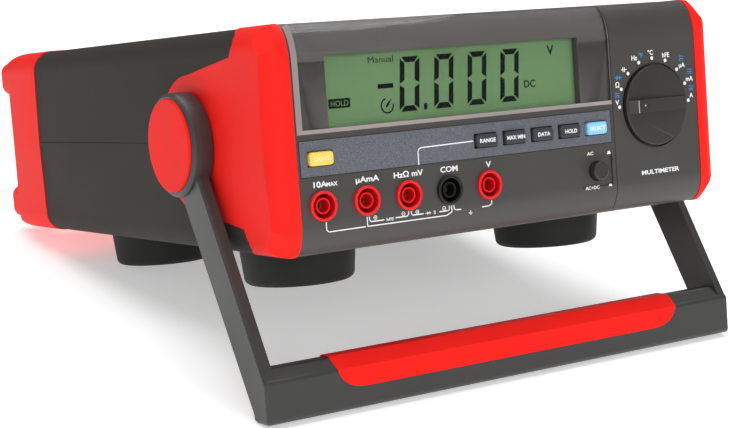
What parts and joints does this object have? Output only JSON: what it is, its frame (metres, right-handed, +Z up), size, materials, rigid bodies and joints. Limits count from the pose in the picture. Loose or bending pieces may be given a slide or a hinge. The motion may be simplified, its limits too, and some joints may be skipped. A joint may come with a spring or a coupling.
{
  "type": "bench multimeter",
  "caption": "Bench multimeter with a large display, range knob, push keys, five plug sockets, soft corner guards and a tilting carrying handle that props it up.",
  "frame": {"origin": "on the ground under the middle of the object as it stands propped on its handle", "axes": "+X to the right for a person facing the front, +Y towards the back, +Z up; the case leans back by 12.10 degrees"},
  "size_m": [0.24, 0.3072, 0.1463],
  "materials": {
    "guard_red": "satin soft-touch",
    "case_grey": "fine spark-eroded texture",
    "steel": "zinc plated",
    "black_plastic": "satin",
    "battery_wrap": "printed wrap",
    "foot_rubber": "grained matt",
    "mask_dark": "satin print",
    "panel_grey": "fine satin",
    "clear_window": "clear gloss",
    "key_strip_blue": "fine speckle",
    "lcd": "grey-green reflective display",
    "backlight_white": "matt",
    "board_green": "solder resist",
    "key_yellow": "satin",
    "key_dark": "satin",
    "key_blue": "satin",
    "knob_grey": "satin",
    "steel_shaft": "turned",
    "socket_red": "gloss",
    "socket_black": "gloss",
    "brass": "turned",
    "copper_winding": "taped winding",
    "fuse_ceramic": "ceramic",
    "plated_steel": "nickel plated",
    "acetal": "natural acetal",
    "handle_grey": "fine spark-eroded texture",
    "grip_red": "satin soft-touch"
  },
  "bodies": {
    "chassis": {"left_front_bumper": "guard_red", "right_front_bumper": "guard_red", "top_case": "case_grey", "bottom_case": "case_grey", "case_screws": "steel", "battery_door": "case_grey", "battery_door_screws": "steel", "battery_tray": "black_plastic", "batteries": "battery_wrap", "front_left_foot": "foot_rubber", "front_right_foot": "foot_rubber", "rear_left_foot": "foot_rubber", "rear_right_foot": "foot_rubber", "foot_screws": "steel", "display_mask": "mask_dark", "front_panel": "panel_grey", "knob_panel": "panel_grey", "display_window": "clear_window", "key_strip": "key_strip_blue", "lcd_glass": "lcd", "lcd_backlight": "backlight_white", "display_board": "board_green", "key_switches": "black_plastic", "coupling_switch": "black_plastic", "selector_switch": "black_plastic", "ampere_socket": "socket_red", "milliampere_socket": "socket_red", "resistance_socket": "socket_red", "common_socket": "socket_black", "voltage_socket": "socket_red", "socket_contacts": "brass", "main_board": "board_green", "board_screws": "steel", "transformer_core": "steel_shaft", "transformer_winding": "copper_winding", "input_fuses": "fuse_ceramic", "fuse_clips": "brass", "rear_panel": "case_grey", "rear_bumper": "guard_red", "power_inlet": "black_plastic", "inlet_pins": "steel", "power_switch": "black_plastic", "serial_port": "plated_steel", "pivot_bushes": "acetal", "pivot_washers": "steel", "pivot_bolts": "steel"},
    "handle": {"handle_frame": "handle_grey", "handle_grip": "grip_red", "left_hub_cap": "grip_red", "right_hub_cap": "grip_red"},
    "selector": {"selector_knob": "knob_grey", "selector_shaft": "steel_shaft"},
    "light_key": {"light_key": "key_yellow"},
    "range_key": {"range_key": "key_dark"},
    "max_min_key": {"max_min_key": "key_dark"},
    "data_key": {"data_key": "key_dark"},
    "hold_key": {"hold_key": "key_dark"},
    "select_key": {"select_key": "key_blue"},
    "coupling_button": {"coupling_button": "knob_grey"},
    "power_rocker": {"power_rocker": "black_plastic"}
  },
  "joints": [
    {"name": "handle_swing", "type": "hinge", "parent": "chassis", "child": "handle", "pos_m": [0, -0.07415, 0.09142], "axis": [-1, 0, 0], "range_deg": [-65, 200]},
    {"name": "knob_turn", "type": "hinge", "parent": "chassis", "child": "selector", "pos_m": [0.0755, -0.14193, 0.10584], "axis": [0, 0.9778, -0.2096], "range_deg": [0, 180]},
    {"name": "light_key_press", "type": "slide", "parent": "chassis", "child": "light_key", "axis": [0, 0.9778, -0.2096], "range_m": [0, 0.0008], "stiffness_N_per_m": 600, "springref_m": -0.0008},
    {"name": "range_key_press", "type": "slide", "parent": "chassis", "child": "range_key", "axis": [0, 0.9778, -0.2096], "range_m": [0, 0.0008], "stiffness_N_per_m": 600, "springref_m": -0.0008},
    {"name": "max_min_key_press", "type": "slide", "parent": "chassis", "child": "max_min_key", "axis": [0, 0.9778, -0.2096], "range_m": [0, 0.0008], "stiffness_N_per_m": 600, "springref_m": -0.0008},
    {"name": "data_key_press", "type": "slide", "parent": "chassis", "child": "data_key", "axis": [0, 0.9778, -0.2096], "range_m": [0, 0.0008], "stiffness_N_per_m": 600, "springref_m": -0.0008},
    {"name": "hold_key_press", "type": "slide", "parent": "chassis", "child": "hold_key", "axis": [0, 0.9778, -0.2096], "range_m": [0, 0.0008], "stiffness_N_per_m": 600, "springref_m": -0.0008},
    {"name": "select_key_press", "type": "slide", "parent": "chassis", "child": "select_key", "axis": [0, 0.9778, -0.2096], "range_m": [0, 0.0008], "stiffness_N_per_m": 600, "springref_m": -0.0008},
    {"name": "coupling_press", "type": "slide", "parent": "chassis", "child": "coupling_button", "axis": [0, 0.9778, -0.2096], "range_m": [0, 0.0025], "stiffness_N_per_m": 400, "springref_m": -0.001},
    {"name": "rocker_tilt", "type": "hinge", "parent": "chassis", "child": "power_rocker", "pos_m": [-0.018, 0.12122, 0.05005], "axis": [0, 0.2096, 0.9778], "range_deg": [0, 18]}
  ]
}
